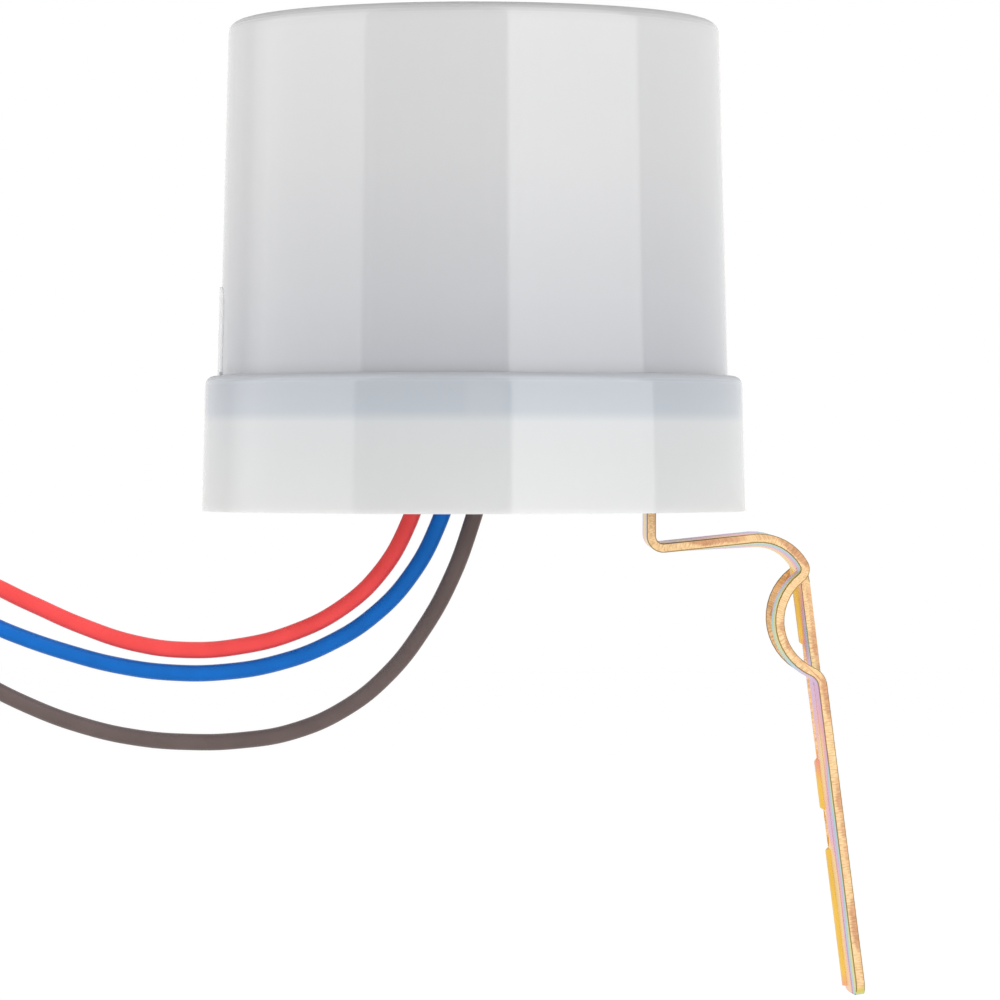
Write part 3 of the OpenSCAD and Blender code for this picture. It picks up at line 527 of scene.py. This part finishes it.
def makeBracket(sheet):
    # a copy of the CAD sheet with its sheared edges rolled over
    bpy.ops.object.select_all(action="DESELECT")
    strip = nodes["bracket"].copy()
    strip.data = nodes["bracket"].data.copy()
    strip.name = "bracketStrip"
    strip.parent = None
    for key in list(strip.keys()):
        del strip[key]
    scene.collection.objects.link(strip)
    bpy.context.view_layer.objects.active = strip
    strip.select_set(True)

    bpy.ops.object.mode_set(mode="EDIT")
    bpy.ops.mesh.select_mode(type="EDGE")
    bpy.ops.mesh.select_all(action="SELECT")
    bpy.ops.mesh.customdata_custom_splitnormals_clear()
    bpy.ops.mesh.remove_doubles(threshold=sheet["mergeGap"] * mm)
    bpy.ops.mesh.dissolve_limited(angle_limit=math.radians(sheet["flatAngle"]))
    bpy.ops.mesh.select_all(action="DESELECT")
    bpy.ops.object.mode_set(mode="OBJECT")
    pickShearedEdges(strip.data, sheet)
    bpy.ops.object.mode_set(mode="EDIT")
    bpy.ops.mesh.bevel(offset=sheet["roll"] * mm, segments=sheet["rollSteps"], clamp_overlap=False)
    bpy.ops.object.mode_set(mode="OBJECT")

    # faces of the rolled edges, where the painted shade goes
    rolled = [float(face.select and abs(face.normal.y) < sheet["sideways"]) for face in strip.data.polygons]
    strip.data.attributes.new("rollOverShade", "FLOAT", "FACE").data.foreach_set("value", rolled)
    markStrip(strip, sheet)
    bpy.ops.object.shade_smooth_by_angle(angle=math.radians(sheet["sharpAngle"]))
    weights = strip.modifiers.new("flatFaces", "WEIGHTED_NORMAL")
    weights.keep_sharp = True
    bpy.ops.object.modifier_apply(modifier=weights.name)
    strip.material_slots[0].material = bracketFinish(sheet)
    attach(strip, "root")
    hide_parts("bracket")
    print("rolled faces", int(sum(rolled)), "of", len(rolled))


makeBracket(bracketSheet)
print("bracket dressed")


# fixings, base and the sealed board: colour, roughness, grain
plainFinishes = {
    "base": mouldedFinish("basePlastic", linear(206, 208, 210), 0.45, 0.1),
    "seal_ring": mouldedFinish("sealRubber", linear(40, 40, 42), 0.75, 0.2),
    "circuit_board": mouldedFinish("phenolicBoard", linear(176, 132, 72), 0.55, 0.15),
    "board_screws": metalFinish("plainZincScrew", linear(214, 214, 216), 0.32),
    "relay": mouldedFinish("relayCase", linear(38, 62, 128), 0.4, 0.1),
    "dropper_capacitor": mouldedFinish("filmCapacitor", linear(176, 52, 34), 0.35, 0.08),
    "smoothing_capacitor": mouldedFinish("capacitorSleeve", linear(30, 30, 40), 0.3, 0.05),
    "rectifier_diodes": mouldedFinish("diodeEpoxy", linear(32, 32, 33), 0.5, 0.15),
    "zener_diode": mouldedFinish("diodeGlass", linear(196, 112, 52), 0.1),
    "small_resistors": mouldedFinish("resistorLacquer", linear(214, 186, 138), 0.35, 0.1),
    "power_resistor": mouldedFinish("flameproofCoat", linear(160, 166, 162), 0.6, 0.2),
    "transistor": mouldedFinish("transistorEpoxy", linear(28, 28, 29), 0.5, 0.15),
    "varistor": mouldedFinish("varistorDip", linear(28, 92, 168), 0.3, 0.12),
    "photoresistor": mouldedFinish("sensorCeramic", linear(204, 146, 96), 0.25),
    "photoresistor_legs": metalFinish("sensorLegs", linear(216, 214, 210), 0.3),
    "solder_joints": metalFinish("solderFillets", linear(208, 208, 210), 0.28),
    "lead_tails": metalFinish("tinnedTails", linear(214, 206, 194), 0.32),
    "lead_tips": metalFinish("tinnedTips", linear(214, 206, 194), 0.32, (2500, 300, 300)),
    "lead_tie": mouldedFinish("tieBand", linear(36, 36, 37), 0.5, 0.1),
    "wire_grommet": mouldedFinish("grommetRubber", linear(44, 44, 46), 0.7, 0.2),
    "bracket_screw": metalFinish("brightScrew", linear(218, 218, 220), 0.28),
    "spring_washer": metalFinish("springSteel", linear(204, 204, 206), 0.3),
    "flat_washer": metalFinish("washerZinc", linear(222, 212, 186), 0.3),
    "threaded_insert": metalFinish("insertBrass", linear(214, 178, 96), 0.3),
}
for nodeName, material in plainFinishes.items():
    dress(nodeName, material)
print("fixings and board dressed")


# stage: a pale floor well below, a white backdrop and large soft panels
stage = {  # metres, apart from the floor's drop in mm
    "floorDrop": 300, "floorSize": 12, "floorColour": (0.82, 0.82, 0.82, 1), "floorRough": 0.9,
    "floorLift": 0.3, "ambient": 0.85,
    "panels": {  # turn from the camera's side, distance, width, height, rise, radiance
        "leftPanel": (-35, 1.2, 1.0, 1.4, 0.3, 0.6),
        "rightPanel": (60, 1.2, 1.0, 1.4, 0.3, 0.7),
    },
    "topPlace": (0.05, -0.2, 1.3), "topWidth": 1.2, "topRadiance": 0.7,
    "softBoxes": [  # each side: degrees from the camera's side, blur, light there
        ((-118, 9, 0.95), (-51, 1, 1.0)),
        ((16, 1, 1.75), (82, 1, 1.2)),
    ],
}


def makePanel(name, location, width, height, radiance):
    light = bpy.data.lights.new(name, "AREA")
    light.shape = "RECTANGLE"
    light.size = width
    light.size_y = height
    light.energy = radiance * math.pi * width * height
    panel = bpy.data.objects.new(name, light)
    scene.collection.objects.link(panel)
    panel.location = location
    panel.rotation_euler = (bodyOrigin - location).to_track_quat("-Z", "Y").to_euler()
    panel.visible_camera = panel.visible_glossy = False


for panelName, (turn, distance, width, height, rise, radiance) in stage["panels"].items():
    turn = math.radians(turn)
    place = bodyOrigin + Vector((math.sin(turn) * distance, -math.cos(turn) * distance, rise))
    makePanel(panelName, place, width, height, radiance)
topPlace = bodyOrigin + Vector(stage["topPlace"])
makePanel("topPanel", topPlace, stage["topWidth"], stage["topWidth"], stage["topRadiance"])

bpy.ops.mesh.primitive_plane_add(size=stage["floorSize"], location=fromBody(0, 0, -stage["floorDrop"]))
floor = bpy.context.object
floor.name = "studioFloor"
floorFinish = Finish(
    "paleFloor", Base_Color=stage["floorColour"], Roughness=stage["floorRough"], Specular_IOR_Level=0.0,
    Emission_Color=white,
)
floorFinish.drive("Emission Strength", floorFinish.times(floorFinish.seenRays(), stage["floorLift"]))
floor.data.materials.append(floorFinish.material)

world = bpy.data.worlds.new("studioWorld")
scene.world = world
world.use_nodes = True
studio = Graph(world.node_tree)
backdrop = studio.node("Background", sockets={"Color": white})
studio.join(backdrop.outputs[0], studio.node("OutputWorld").inputs["Surface"])
worldLight = studio.math("MAXIMUM", studio.seenRays(), stage["ambient"])

# two tall soft boxes that only gloss shows
east, north, _ = studio.axes(studio.node("TexCoord").outputs["Generated"])
worldTurn = studio.math("ARCTAN2", east, studio.times(north, -1.0))
glossyRay = studio.node("LightPath").outputs["Is Glossy Ray"]


def acrossTurn(start, end, low, high):
    return studio.span(worldTurn, math.radians(start), math.radians(end), low, high)


for (left, leftBlur, leftLight), (right, rightBlur, rightLight) in stage["softBoxes"]:
    box = studio.times(
        acrossTurn(left, right, leftLight, rightLight),
        acrossTurn(left - leftBlur, left + leftBlur, 0, 1),
        acrossTurn(right - rightBlur, right + rightBlur, 1, 0),
        glossyRay,
    )
    worldLight = studio.math("ADD", worldLight, box)
studio.join(worldLight, backdrop.inputs["Strength"])
scene.view_settings.view_transform = "Standard"
print("stage lit")
